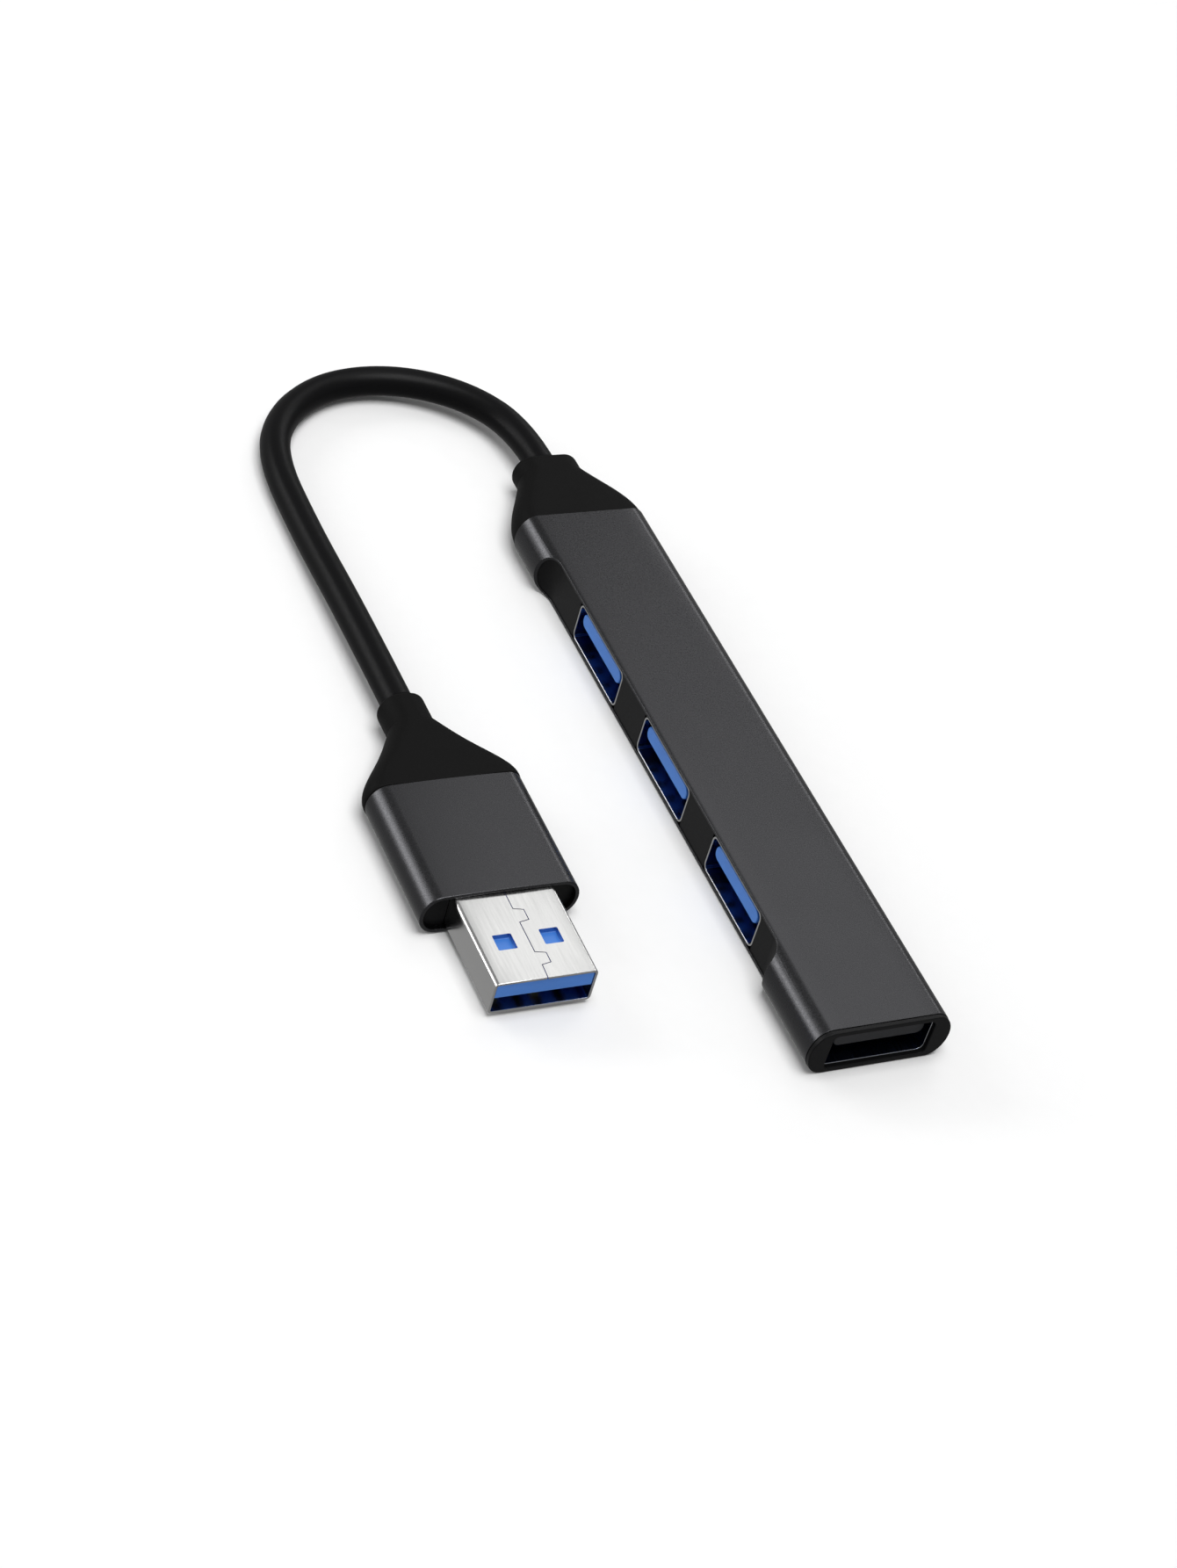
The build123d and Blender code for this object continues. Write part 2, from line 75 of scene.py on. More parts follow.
# Spring fingers: distance from the middle, half width, sheet, and their bow as (x, rise)
SPRING_SPREAD, SPRING_HALF, SPRING_SHEET = 2.9, 0.8, 0.12
SPRING_BOW = ((-2.2, 0.0), (-3.4, 0.16), (-4.8, 0.34), (-6.2, 0.36), (-7.2, 0.18), (-7.8, 0.2))
# A tongue: width, thickness, height above the middle, and how far its tip lies behind the mouth
TONGUE = (11.1, 1.84, 0.975, 0.25)
TONGUE_EDGE, BASE_PLAY = 0.12, 0.04
# Each port's mouth, and its turn about Z in degrees
PORT_MOUTHS = {
    "side_port_1": ((-20.9, -6.8, 3.1), -90),
    "side_port_2": ((-1.2, -6.8, 3.1), -90),
    "side_port_3": ((18.5, -6.8, 3.1), -90),
    "end_port": ((42.4, 0.0, 3.1), 0),
}
# Each boot: collar's length, neck's width, height and bulge, and the swelling's fullness and lateness
BOOTS = {"hub_boot": (2.4, (8.8, 5.0, 2.4), (1.0, 2)), "plug_boot": (4.0, (5.7, 4.9, 2.3), (1.5, 4))}
BOOT_ROUND, BOOT_ROUND_STEPS, SWELL_STEPS, SPIGOT_LENGTH = 0.6, 6, 40, 2.0
# The dished lip round the cable as (radius, depth), and the eased rim at the metal as (gap, distance)
BOOT_LIP = ((1.85, 0.0), (1.98, 0.2), (2.3, 0.0))
BOOT_RIM = ((0.0, 0.1), (0.03, 0.03), (0.1, 0.0))
PLUG_CORNER, PLUG_WALL, PLUG_CAVITY = 0.5, 0.3, 9.0
# The plug's windows: side, distance from the tip, and distance of their middle from the plug's middle
WINDOW = (2.2, 4.62, 2.72)
WINDOW_CORNER, WINDOW_POCKET = 0.15, 0.35
# The dovetail seam as (distance from the tip, shift sideways)
SEAM_WIDTH = 0.1
SEAM = ((10.2, 0.0), (9.9, 1.15), (8.4, 1.15), (8.2, 0.0), (3.8, 0.0), (3.5, 1.2), (2.1, 1.2), (1.9, 0.1))
CABLE_ROUTE = (
    (-55.2, 0.0, 3.1),
    (-63.0, 0.0, 3.1),
    (-70.8, -4.339, 2.884),
    (-75.6, -12.306, 2.44),
    (-75.9, -21.391, 2.02),
    (-71.0, -29.154, 1.9),
    (-62.9, -33.493, 1.9),
    (-48.0, -33.9, 1.9),
    (-32.0, -33.9, 2.8),
    (-16.0, -33.9, 2.8),
)
# Direction from the hub to the camera, the camera's roll in degrees, and where the table's glow comes from
CAMERA_BACK = (0.62349, -0.42492, 0.65628)
CAMERA_ROLL = 17.385
GLOW_FROM = (-0.6, -0.4, -0.69)


def linear(code):
    """Turns an sRGB hex colour into linear red, green and blue."""
    parts = [int(code[i:i + 2], 16) / 255 for i in (0, 2, 4)]
    return [c / 12.92 if c <= 0.04045 else ((c + 0.055) / 1.055) ** 2.4 for c in parts]


def shade(name, description, code):
    """A colour that a user can change."""
    return FloatVectorProperty(
        name=name, description=description, subtype="COLOR", size=3, min=0, max=1, default=linear(code)
    )


def length(name, description, millimetres, low=0.0, high=1000.0):
    """A size that a user can change, kept in metres."""
    return FloatProperty(
        name=name,
        description=description,
        default=millimetres * MM,
        min=low * MM,
        max=high * MM,
        precision=5,
        unit="LENGTH",
    )


def strength(name, description, value):
    """A light's strength or power that a user can change."""
    return FloatProperty(name=name, description=description, default=value, min=0)


class HubSizes(bpy.types.PropertyGroup):
    """Sizes that are about looks and don't change what fits what."""

    metal_edge: length("Metal edge", "Rounding of the aluminium's milled and sawn edges", 0.14, 0, 0.3)
    steel_edge: length("Steel edge", "Rounding of the plug's and ports' sheet edges", 0.08, 0, 0.12)
    moulded_edge: length("Moulded edge", "Rounding of the black mouldings' edges", 0.12, 0, 0.3)
    cable_diameter: length("Cable diameter", "Outside of the cable's jacket", 3.8, 3, 5)
    side_bulge: length("Side bulge", "Reach of the rounded sides past the flat faces", 2.3, 1, 3)
    housing_wall: length("Housing wall", "Thickness of the extruded tube", 0.4, 0.2, 0.6)
    sleeve_wall: length("Sleeve wall", "Thickness of the plug's sleeve", 0.45, 0.2, 0.6)
    tongue_corner: length("Tongue corner", "Rounding of a tongue's section", 0.8, 0.1, 0.9)
    arc_steps: IntProperty(
        name="Arc steps", description="Points on each quarter of a round side", default=12, min=4
    )


class HubColours(bpy.types.PropertyGroup):
    """Colours of the hub's finishes."""

    aluminium: shade("Anodised aluminium", "Dye in the anodic layer", "48484A")
    abs_black: shade("Black ABS", "Moulded plate and frame", "101011")
    boot: shade("Boot elastomer", "Strain reliefs", "101010")
    jacket: shade("Cable jacket", "Jacket of the cable", "0D0D0E")
    steel: shade("Nickel plate", "Plug's and ports' shells", "D8D8D7")
    # Painted shade and painted reflection: the dark blue laid deep inside the shells by occlusion
    painted_shade_and_reflection: shade("Plate in recesses", "Tint deep in the shells, for what they mirror", "5373B4")
    blue: shade("Blue PBT", "Tongues and the plug's insulator", "3F7DD2")
    navy: shade("Dark PBT", "End port's tongue", "14161D")
    gold: shade("Gold flash", "Contacts", "D9AE5C")
    solder_mask: shade("Solder mask", "Circuit board", "0F4A26")
    epoxy: shade("Epoxy", "Hub chip", "17171A")
    ceramic: shade("Fired ceramic", "Capacitors", "9A7A56")
    tin: shade("Solder", "Solder joints and the crystal's lid", "C9CACC")
    wire: shade("Wire insulation", "Conductors", "9A2F28")
    floor: shade("Floor", "Studio floor", "F4F4F4")


class HubStudio(bpy.types.PropertyGroup):
    """Camera and lights."""

    camera_place: FloatVectorProperty(
        name="Camera place",
        description="Where the camera stands",
        subtype="XYZ",
        unit="LENGTH",
        default=(0.234681, -0.176721, 0.250409),
    )
    lens: FloatProperty(name="Lens", description="Focal length in millimetres", default=76.715, min=10)
    sky: strength("Sky", "Strength of the even light all round", 0.26)
    table: strength("Table glow", "Strength of the light off the table", 0.34)
    overhead: strength("Overhead", "Power of the large light overhead", 6.6)
    back: strength("Back", "Power of the soft box behind the hub", 0.33)
    strip: strength("Strip", "Power of the strip light beside the cable", 1.1)
    rim: strength("Rim", "Power of the low light beyond the cable", 0.22)


# ---- Meshes
def capsule(width, height, bulge, steps, crown=0.0):
    """Points of a section with half-elliptical sides and a flat or slightly crowned top and bottom."""
    flat, rise = width / 2 - bulge, height / 2 - crown
    points = []
    for i in range(2 * steps + 1):
        turn = -math.pi / 2 + math.pi * i / (2 * steps)
        points.append((flat + bulge * math.cos(turn), rise * math.sin(turn)))
    for i in range(1, CROWN_STEPS):
        share = 1 - 2 * i / CROWN_STEPS
        points.append((flat * share, rise + crown * (1 - share * share)))
    return points + [(-y, -z) for y, z in points]


def rounded(width, height, corner, steps=6):
    """Points of a rectangle with round corners, anticlockwise."""
    points = []
    for sign_y, sign_z, start in ((1, -1, -90), (1, 1, 0), (-1, 1, 90), (-1, -1, 180)):
        for i in range(steps + 1):
            turn = math.radians(start + 90 * i / steps)
            points.append(
                (
                    sign_y * (width / 2 - corner) + corner * math.cos(turn),
                    sign_z * (height / 2 - corner) + corner * math.sin(turn),
                )
            )
    return points


def across(section, x, mid, y=0.0):
    """Puts a section's points across the hub's length at x, as seen from the +X end."""
    return [Vector((x, y + a, mid + b)) for a, b in section]


def skin(rings, close_start=True, close_end=True, loop=False):
    """A mesh through rings with equal numbers of points, its ends closed unless it runs into itself."""
    made = bmesh.new()
    rows = [[made.verts.new(p * MM) for p in ring] for ring in rings]
    count = len(rows[0])
    pairs = list(zip(rows, rows[1:])) + ([(rows[-1], rows[0])] if loop else [])
    for near, far in pairs:
        for i in range(count):
            j = (i + 1) % count
            made.faces.new((near[i], near[j], far[j], far[i]))
    if close_start and not loop:
        made.faces.new(rows[0][::-1])
    if close_end and not loop:
        made.faces.new(rows[-1])
    bmesh.ops.recalc_face_normals(made, faces=made.faces)
    return made


def piece(name, made, slot):
    """Turns a finished mesh into a piece of the hub, in its slot's finish, that rides on its body."""
    mesh = bpy.data.meshes.new(name)
    made.to_mesh(mesh)
    made.free()
    new = bpy.data.objects.new(name, mesh)
    bpy.context.scene.collection.objects.link(new)
    mesh.materials.append(stocked(slot))
    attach(new, "root")
    return new


def bake_modifiers(target):
    """Applies a piece's modifiers to its mesh."""
    seen = bpy.context.evaluated_depsgraph_get()
    mesh = bpy.data.meshes.new_from_object(target.evaluated_get(seen))
    target.modifiers.clear()
    target.data = mesh


def join_in_place(target, extra, place):
    """Adds a mesh to a piece and moves both to their place."""
    spare = bpy.data.meshes.new("spare")
    extra.to_mesh(spare)
    extra.free()
    joined = bmesh.new()
    joined.from_mesh(target.data)
    joined.from_mesh(spare)
    bmesh.ops.transform(joined, matrix=place, verts=joined.verts)
    joined.to_mesh(target.data)
    joined.free()


def ends(node):
    """Lowest and highest corner of a CAD node, in millimetres."""
    return [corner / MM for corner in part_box(node)]


def carve(target, *outlines):
    """Takes prisms out of a piece; each is a mesh that is only a tool."""
    tools = []
    for made in outlines:
        mesh = bpy.data.meshes.new("tool")
        made.to_mesh(mesh)
        made.free()
        tools.append(bpy.data.objects.new("tool", mesh))
        bpy.context.scene.collection.objects.link(tools[-1])
        step = target.modifiers.new("cut", "BOOLEAN")
        step.operation, step.solver, step.object = "DIFFERENCE", "EXACT", tools[-1]
    bake_modifiers(target)
    for cutter in tools:
        bpy.data.objects.remove(cutter)


def prism(outline, low, high):
    """A solid between two heights with an outline in plan."""
    return skin([[Vector((x, y, z)) for x, y in outline] for z in (low, high)])


def pipe(outer, inner, start, stop, mid, y=0.0):
    """A tube along X whose two sections have equal numbers of points."""
    corners = ((outer, start), (outer, stop), (inner, stop), (inner, start))
    return skin([across(section, x, mid, y) for section, x in corners], loop=True)


def slot_outline(far, near, face, radius, steps=20):
    """Plan of the slot that a round cutter mills along a side, with its flat at face."""
    points = []
    for centre, first in ((near - radius, -90), (far + radius, 90)):
        for i in range(2 * steps + 1):
            turn = math.radians(first + 90 * i / steps)
            points.append((centre + radius * math.cos(turn), face - radius + radius * math.sin(turn)))
    return points


def ribbon(path, width):
    """Outline of a strip of even width along a path in plan."""
    left, right = [], []
    for i, point in enumerate(path):
        before, after = path[max(i - 1, 0)], path[min(i + 1, len(path) - 1)]
        lead = (Vector(point) - Vector(before)).normalized() if i else None
        tail = (Vector(after) - Vector(point)).normalized() if i < len(path) - 1 else None
        lead, tail = lead or tail, tail or lead
        along = (lead + tail).normalized()
        side = Vector((-along.y, along.x)) * (width / 2 / max(along.dot(lead), 0.4))
        left.append(tuple(Vector(point) + side))
        right.append(tuple(Vector(point) - side))
    return left + right[::-1]


def soften(target, width, angle=32, segments=3):
    """Rounds a piece's edges and shades its curved faces smoothly."""
    for polygon in target.data.polygons:
        polygon.use_smooth = True
    if width:
        step = target.modifiers.new("edges", "BEVEL")
        step.width, step.segments, step.limit_method = width, segments, "ANGLE"
        step.angle_limit = math.radians(angle)
        step.use_clamp_overlap, step.harden_normals = True, True
    bake_modifiers(target)


# ---- Materials
def add(tree, kind, settings=None, links=None):
    """Adds a node; keys that start with a capital or are numbers are its input sockets."""
    new = tree.nodes.new(kind)
    for key, value in (settings or {}).items():
        if isinstance(key, int) or key[0].isupper():
            new.inputs[key].default_value = value
        else:
            setattr(new, key, value)
    for key, socket in (links or {}).items():
        tree.links.new(socket, new.inputs[key])
    return new


def per(millimetres):
    """Texture scale at which one repeat has this size."""
    return 1 / (millimetres * MM)


def opaque(colour):
    """A colour with full alpha, as sockets take it."""
    return (*colour, 1.0)


def tint(colour, share):
    """A colour made lighter or darker by a share of itself."""
    return opaque([min(1.0, c * (1 + share)) for c in colour])


def begin(name):
    """A material with no nodes yet but its place in the object."""
    material = bpy.data.materials.new(f"{name}_finish")
    material.use_nodes = True
    tree = material.node_tree
    tree.nodes.clear()
    place = add(tree, "ShaderNodeTexCoord")
    return material, tree, place.outputs["Object"]


def complete(tree, settings, links):
    """Ends a material with its shader."""
    shader = add(tree, "ShaderNodeBsdfPrincipled", settings, links)
    add(tree, "ShaderNodeOutputMaterial", {}, {"Surface": shader.outputs[0]})


def anodised_aluminium(colour):
    """Extruded aluminium, bead blasted and dyed in the anodising bath."""
    # Gives the eye a fine dry grain with a broad soft sheen, and edges where the dye sits thinner.
    material, tree, place = begin("anodised_aluminium")
    # Blast grit is near 0.1 mm, drawn at 0.22 mm so that it shows
    grain = {"Scale": per(0.22), "Detail": 3.0, "Roughness": 0.6}
    grit = add(tree, "ShaderNodeTexNoise", grain, {"Vector": place})
    # Bath clouding, several millimetres wide
    cloud = add(tree, "ShaderNodeTexNoise", {"Scale": per(9.0), "Detail": 2.0}, {"Vector": place})
    # Die lines along the extrusion, 0.3 mm apart and long
    stretched = add(tree, "ShaderNodeMapping", {"Scale": (0.02, 1.0, 1.0)}, {"Vector": place})
    spacing = {"Scale": per(0.3), "Detail": 2.0}
    lines = add(tree, "ShaderNodeTexNoise", spacing, {"Vector": stretched.outputs[0]})
    base = add(
        tree,
        "ShaderNodeMix",
        {"data_type": "RGBA", 6: tint(colour, -0.05), 7: tint(colour, 0.05)},
        {0: cloud.outputs[0]},
    )
    edge = add(tree, "ShaderNodeNewGeometry")
    worn = add(
        tree,
        "ShaderNodeMapRange",
        {"From Min": 0.52, "From Max": 0.62, "To Min": 0.0, "To Max": 0.35},
        {"Value": edge.outputs["Pointiness"]},
    )
    dyed = add(
        tree,
        "ShaderNodeMix",
        {"data_type": "RGBA", 7: tint(colour, 0.9)},
        {0: worn.outputs[0], 6: base.outputs[2]},
    )
    rough = add(
        tree,
        "ShaderNodeMapRange",
        {"From Min": 0.3, "From Max": 0.7, "To Min": 0.24, "To Max": 0.34},
        {"Value": grit.outputs[0]},
    )
    fine = add(
        tree, "ShaderNodeBump", {"Strength": 0.06, "Distance": 0.01 * MM}, {"Height": grit.outputs[0]}
    )
    drawn = add(
        tree,
        "ShaderNodeBump",
        {"Strength": 0.03, "Distance": 0.005 * MM},
        {"Height": lines.outputs[0], "Normal": fine.outputs[0]},
    )
    complete(
        tree,
        {"Metallic": 1.0},
        {"Base Color": dyed.outputs[2], "Roughness": rough.outputs[0], "Normal": drawn.outputs[0]},
    )
    return material


def moulded(name, colour, grain, roughness, depth, spread=0.08, level=0.5, ior=1.5, coat=0.0):
    """A moulded or coated surface: an even grain at the given size, with slow changes of colour."""
    material, tree, place = begin(name)
    texture = add(tree, "ShaderNodeTexNoise", {"Scale": per(grain), "Detail": 4.0}, {"Vector": place})
    drift = {"Scale": per(14 * grain + 2.0), "Detail": 1.0}
    flow = add(tree, "ShaderNodeTexNoise", drift, {"Vector": place})
    base = add(
        tree,
        "ShaderNodeMix",
        {"data_type": "RGBA", 6: tint(colour, -spread), 7: tint(colour, spread)},
        {0: flow.outputs[0]},
    )
    rough = add(
        tree,
        "ShaderNodeMapRange",
        {"From Min": 0.3, "From Max": 0.7, "To Min": roughness - 0.05, "To Max": roughness + 0.05},
        {"Value": texture.outputs[0]},
    )
    bump = add(
        tree, "ShaderNodeBump", {"Strength": 0.35, "Distance": depth * MM}, {"Height": texture.outputs[0]}
    )
    complete(
        tree,
        {"IOR": ior, "Specular IOR Level": level, "Coat Weight": coat},
        {"Base Color": base.outputs[2], "Roughness": rough.outputs[0], "Normal": bump.outputs[0]},
    )
    return material


def plated(name, colour, grain, roughness, along=(1.0, 1.0, 1.0), painted_shade_and_reflection=None):
    """A plated or tinned metal with faint rolling marks; if asked, painted shade and a painted blue
    reflection deep in its recesses.
    """
    material, tree, place = begin(name)
    stretched = add(tree, "ShaderNodeMapping", {"Scale": along}, {"Vector": place})
    noise = {"Scale": per(grain), "Detail": 4.0}
    marks = add(tree, "ShaderNodeTexNoise", noise, {"Vector": stretched.outputs[0]})
    base = add(
        tree,
        "ShaderNodeMix",
        {"data_type": "RGBA", 6: tint(colour, -0.06), 7: tint(colour, 0.03)},
        {0: marks.outputs[0]},
    )
    rough = add(
        tree,
        "ShaderNodeMapRange",
        {"From Min": 0.3, "From Max": 0.7, "To Min": roughness - 0.04, "To Max": roughness + 0.06},
        {"Value": marks.outputs[0]},
    )
    if painted_shade_and_reflection:
        # Painted shade and painted reflection: deep in a shell, where little light reaches and the plate
        # would mirror the mouldings around it, an even dark blue tint is drawn in
        reach = {"samples": 8, "only_local": True, "Distance": 10 * MM}
        shade_occlusion = add(tree, "ShaderNodeAmbientOcclusion", reach)
        share = add(
            tree,
            "ShaderNodeMapRange",
            {"From Min": 0.4, "From Max": 0.97, "To Min": 0.0, "To Max": 1.0},
            {"Value": shade_occlusion.outputs["AO"]},
        )
        base = add(
            tree,
            "ShaderNodeMix",
            {"data_type": "RGBA", 6: opaque(painted_shade_and_reflection)},
            {0: share.outputs[0], 7: base.outputs[2]},
        )
    bump = add(
        tree, "ShaderNodeBump", {"Strength": 0.12, "Distance": 0.01 * MM}, {"Height": marks.outputs[0]}
    )
    complete(
        tree,
        {"Metallic": 1.0},
        {"Base Color": base.outputs[2], "Roughness": rough.outputs[0], "Normal": bump.outputs[0]},
    )
    return material


def stocked(name):
    """The finish for a slot, made from the user's colours the first time it is asked for."""
    if f"{name}_finish" in bpy.data.materials:
        return bpy.data.materials[f"{name}_finish"]
    colours = bpy.context.scene.hub_colours
    makers = {
        # Gives the eye a fine dry grain with a broad soft sheen
        "anodised_aluminium": lambda: anodised_aluminium(colours.aluminium),
        # ABS from a spark-eroded tool: deep black with a low, soft highlight
        "black_plastic": lambda: moulded("black_plastic", colours.abs_black, 0.18, 0.42, 0.02, level=0.15),
        # TPE, overmoulded: softer than ABS to look at, with almost no highlight
        "boot_elastomer": lambda: moulded("boot_elastomer", colours.boot, 0.2, 0.55, 0.03, level=0.06),
        # PVC, extruded over the braid: a satin line of light along the tube
        "cable_jacket": lambda: moulded("cable_jacket", colours.jacket, 0.25, 0.38, 0.02, level=0.1),
        # PBT, glass filled and moulded in a polished tool: saturated, with a small sharp highlight
        "blue_plastic": lambda: moulded("blue_plastic", colours.blue, 0.3, 0.34, 0.01, ior=1.55),
        "dark_plastic": lambda: moulded("dark_plastic", colours.navy, 0.3, 0.36, 0.01, ior=1.55),
        # Nickel plate on drawn steel: bright and slightly warm, with rolling marks along the strip, and
        # painted shade with a painted blue reflection deep in the shells
        "nickel_steel": lambda: plated(
            "nickel_steel", colours.steel, 0.25, 0.2, (0.05, 1.0, 1.0), colours.painted_shade_and_reflection
        ),
        # Gold flash over nickel on a copper alloy
        "gold_contacts": lambda: plated("gold_contacts", colours.gold, 0.2, 0.22),
        # Tin, reflowed: smooth, with slightly dull patches
        "solder": lambda: plated("solder", colours.tin, 0.3, 0.28),
        "crystal_can": lambda: plated("crystal_can", colours.tin, 0.15, 0.3, (0.1, 1.0, 1.0)),
        # Solder mask on glass epoxy: an uneven gloss under a thin clear coat
        "circuit_board": lambda: moulded("circuit_board", colours.solder_mask, 0.4, 0.28, 0.01, coat=0.4),
        # Moulded epoxy: matt, with a fine even grain
        "chip_plastic": lambda: moulded("chip_plastic", colours.epoxy, 0.12, 0.55, 0.01),
        # Barium titanate, fired: a dense, slightly speckled body
        "capacitor_ceramic": lambda: moulded(
            "capacitor_ceramic", colours.ceramic, 0.1, 0.4, 0.01, spread=0.2
        ),
        # Insulation, extruded and waxy
        "wire_insulation": lambda: moulded("wire_insulation", colours.wire, 0.3, 0.35, 0.01),
    }
    return makers[name]()


def dress(*nodes):
    """Gives CAD nodes the material of their own slot."""
    slots = {part["node"]: part["material_slot"] for part in frame["record"]["subparts"]}
    for name in nodes:
        target = frame["nodes"][name]
        target.data.materials.clear()
        target.data.materials.append(stocked(slots[name]))


# ---- Operators
class HUB_OT_stage(bpy.types.Operator):
    """Make the floor, the lights and the camera"""

    bl_idname = "hub.stage"
    bl_label = "Stage"

    def execute(self, context):
        studio = context.scene.hub_studio
        view = bpy.data.cameras.new("camera")
        view.lens, view.sensor_width = studio.lens, 36.0
        view.clip_start, view.clip_end = 0.01, 20.0
        camera = bpy.data.objects.new("camera", view)
        back = Vector(CAMERA_BACK).normalized()
        level = Vector((-back.y, back.x, 0.0)).normalized()
        upright = Matrix((level, back.cross(level), back)).transposed().to_4x4()
        rolled = upright @ Matrix.Rotation(math.radians(CAMERA_ROLL), 4, "Z")
        camera.matrix_world = Matrix.Translation(studio.camera_place) @ rolled
        context.scene.collection.objects.link(camera)
        context.scene.camera = camera

        floor = bpy.data.objects.new("floor", bpy.data.meshes.new("floor"))
        plate = bmesh.new()
        bmesh.ops.create_grid(plate, x_segments=8, y_segments=8, size=3.0)
        plate.to_mesh(floor.data)
        plate.free()
        floor.location = (0, 0, -0.00002)
        material, tree, place = begin("studio_floor")
        grain = add(tree, "ShaderNodeTexNoise", {"Scale": per(2.0), "Detail": 2.0}, {"Vector": place})
        colour = context.scene.hub_colours.floor
        paint = add(
            tree,
            "ShaderNodeMix",
            {"data_type": "RGBA", 6: tint(colour, -0.01), 7: tint(colour, 0.01)},
            {0: grain.outputs[0]},
        )
        complete(tree, {"Roughness": 0.9, "Specular IOR Level": 0.1}, {"Base Color": paint.outputs[2]})
        floor.data.materials.append(material)
        context.scene.collection.objects.link(floor)
        # A studio choice: the floor lights the hub but isn't mirrored in it, so its sides stay dark.
        # The glow added to the world below stands in for a little of that reflection.
        floor.visible_glossy = False

        lamps = (
            ("overhead_light", studio.overhead, (0.6, 0.6), (0.12, -0.02, 0.9), 0),
            ("back_light", studio.back, (0.31, 0.32), (-0.27, 0.262, 0.515), 0),
            ("strip_light", studio.strip, (0.5, 0.14), (-0.365, -0.43, 0.21), -33),
            ("rim_light", studio.rim, (0.3, 0.06), (-0.36, 0.38, 0.25), 0),
        )
        for name, power, size, place, roll in lamps:
            lamp = bpy.data.lights.new(name, "AREA")
            lamp.shape, lamp.size, lamp.size_y, lamp.energy = "RECTANGLE", size[0], size[1], power
            holder = bpy.data.objects.new(name, lamp)
            holder.location = place
            facing = (-Vector(place)).to_track_quat("-Z", "Y")
            holder.rotation_euler = (facing @ Quaternion((0, 0, 1), math.radians(roll))).to_euler()
            context.scene.collection.objects.link(holder)

        world = bpy.data.worlds.new("studio")
        world.use_nodes = True
        sky = world.node_tree
        sky.nodes.clear()
        around = add(sky, "ShaderNodeTexCoord")
        toward = add(
            sky,
            "ShaderNodeVectorMath",
            {"operation": "DOT_PRODUCT", 1: GLOW_FROM},
            {0: around.outputs["Generated"]},
        )
        glow = add(
            sky,
            "ShaderNodeMapRange",
            {"From Min": 0.2, "From Max": 0.9, "To Min": studio.sky, "To Max": studio.table},
            {"Value": toward.outputs["Value"]},
        )
        white = {"Color": (1.0, 1.0, 1.0, 1.0)}
        light = add(sky, "ShaderNodeBackground", white, {"Strength": glow.outputs[0]})
        add(sky, "ShaderNodeOutputWorld", {}, {"Surface": light.outputs[0]})
        context.scene.world = world
        context.scene.view_settings.view_transform = "Standard"
        return {"FINISHED"}


class HUB_OT_cable(bpy.types.Operator):
    """Lay the cable from the hub's boot round to the plug's boot"""

    bl_idname = "hub.cable"
    bl_label = "Cable"

    def execute(self, context):
        diameter = context.scene.hub_sizes.cable_diameter
        curve = bpy.data.curves.new("cable_jacket", "CURVE")
        curve.dimensions = "3D"
        curve.bevel_depth = diameter / 2
        curve.bevel_resolution = 10
        curve.use_fill_caps = True
        line = curve.splines.new("NURBS")
        line.points.add(len(CABLE_ROUTE) - 1)
        for point, (x, y, z) in zip(line.points, CABLE_ROUTE):
            point.co = (x * MM, y * MM, z * MM, 1.0)
        line.order_u = 3
        line.use_endpoint_u = True
        line.resolution_u = 24
        cable = bpy.data.objects.new("cable_jacket", curve)
        context.scene.collection.objects.link(cable)
        curve.materials.append(stocked("cable_jacket"))
        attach(cable, "root")
        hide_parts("cable")
        return {"FINISHED"}


class HUB_OT_cord(bpy.types.Operator):
    """A step that does nothing: the cable's real length and what goes with it are not stated"""

    bl_idname = "hub.cord"
    bl_label = "Cable with its plug"

    def execute(self, context):
        return {"FINISHED"}


class HUB_OT_housing(bpy.types.Operator):
    """Extrude the aluminium housing and mill its side away for the ports"""

    bl_idname = "hub.housing"
    bl_label = "Housing"

    def execute(self, context):
        sizes = context.scene.hub_sizes
        bulge, wall, steps = sizes.side_bulge / MM, sizes.housing_wall / MM, sizes.arc_steps
        low, high = ends("housing")
        width, height, mid = 2 * high.y, high.z - low.z, (low.z + high.z) / 2
        outer = capsule(width, height, bulge, steps)
        inner = capsule(width - 2 * wall, height - 2 * wall, INNER_BULGE, steps)
        housing = piece(
            "housing_shell",
            pipe(outer, inner, low.x, high.x, mid),
            "anodised_aluminium",
        )
        slot = slot_outline(SLOT_FAR, SLOT_NEAR, SLOT_FACE, CUTTER_RADIUS)
        carve(housing, prism(slot, -1.0, height + 1.0))
        soften(housing, sizes.metal_edge)
        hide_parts("housing")
        return {"FINISHED"}


class HUB_OT_end_plate(bpy.types.Operator):
    """Mould the plate that closes the housing around the end port"""

    bl_idname = "hub.end_plate"
    bl_label = "End plate"

    def execute(self, context):
        sizes = context.scene.hub_sizes
        bulge, steps = sizes.side_bulge / MM - FIT_GAP, sizes.arc_steps
        low, high = ends("end_cap")
        back = ends("housing")[1].x
        mid = (low.z + high.z) / 2
        outer = capsule(high.y - low.y, high.z - low.z, bulge, steps)
        plate = piece(
            "end_plate",
            skin([across(outer, back, mid), across(outer, high.x, mid)]),
            "black_plastic",
        )
        opening = rounded(OPENING[0] + 2 * FIT_GAP, OPENING[1] + 2 * FIT_GAP, OPENING[2])
        carve(plate, skin([across(opening, x, mid) for x in (back - 1.0, high.x + 1.0)]))
        soften(plate, sizes.moulded_edge)
        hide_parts("end_cap")
        return {"FINISHED"}


